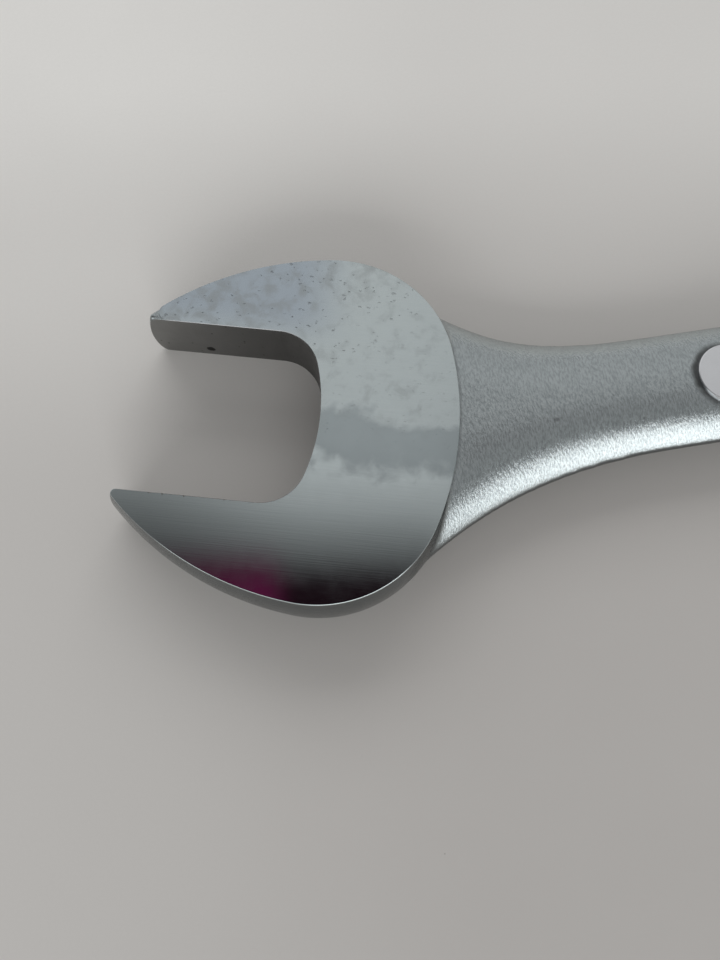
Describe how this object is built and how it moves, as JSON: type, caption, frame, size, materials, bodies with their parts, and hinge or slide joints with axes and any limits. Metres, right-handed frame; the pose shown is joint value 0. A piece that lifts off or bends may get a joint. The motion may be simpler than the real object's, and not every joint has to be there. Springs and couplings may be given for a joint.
{
  "type": "ratcheting combination wrench",
  "caption": "Combination wrench with an angled open jaw at one end, a one-way ratcheting ring at the other and a cambered shank with a raised panel on each broad face.",
  "frame": {"origin": "centre of the wrench's bounding box, half-way through its thickness", "axes": "+X along the shank from the open jaw to the ring, +Y across the shank towards the horn the slot tilts to, +Z square to the broad faces, towards the retaining ring's side"},
  "size_m": [0.3052, 0.0488, 0.0136],
  "materials": {
    "chrome_forging": "satin blasted shank with ground and polished head faces and raised panels",
    "gear_chrome": "satin plated",
    "pawl_steel": "plain hardened steel",
    "spring_steel": "drawn wire",
    "black_spring_steel": "blackened"
  },
  "bodies": {
    "forging": {"wrench_body": "chrome_forging", "retaining_ring": "black_spring_steel", "pawl_spring": "spring_steel"},
    "gear": {"ratchet_gear": "gear_chrome"},
    "pawl": {"pawl": "pawl_steel"}
  },
  "joints": [
    {"name": "gear_turn", "type": "hinge", "parent": "forging", "child": "gear", "pos_m": [0.13009, -0.0012, 0], "axis": [0, 0, 1], "continuous": true},
    {"name": "pawl_slide", "type": "slide", "parent": "forging", "child": "pawl", "axis": [-1, 0, 0], "range_m": [0, 0.0011], "stiffness_N_per_m": 600, "springref_m": -0.001, "deforming": ["pawl_spring"]}
  ]
}
